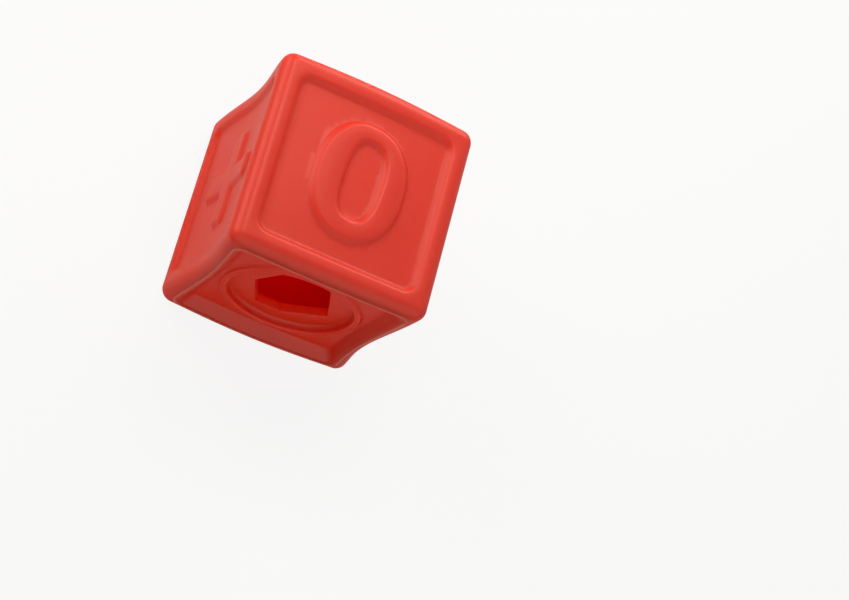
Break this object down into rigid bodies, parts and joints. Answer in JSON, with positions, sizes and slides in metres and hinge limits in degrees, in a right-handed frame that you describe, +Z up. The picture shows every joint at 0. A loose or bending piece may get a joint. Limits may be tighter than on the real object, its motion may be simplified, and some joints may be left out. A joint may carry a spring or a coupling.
{
  "type": "soft rubber number block",
  "caption": "Soft hollow rubber toy block with framed faces, raised signs, and a bonded open side with a raised ring and a trimmed cut-out.",
  "frame": {"origin": "middle of the resting face, on the surface the block stands on", "axes": "+Z up through the face with the zero, -Y out of the open side, +X to the right seen from the open side"},
  "size_m": [0.0549, 0.0574, 0.055],
  "materials": {
    "shell_rubber": "soft satin, one red through the whole moulding",
    "panel_rubber": "soft satin, the same red",
    "seam_bond": "set bond, slightly paler and glossier than the rubber"
  },
  "bodies": {
    "root": {"shell": "shell_rubber", "open_panel": "panel_rubber", "bond_seam": "seam_bond"}
  },
  "joints": []
}
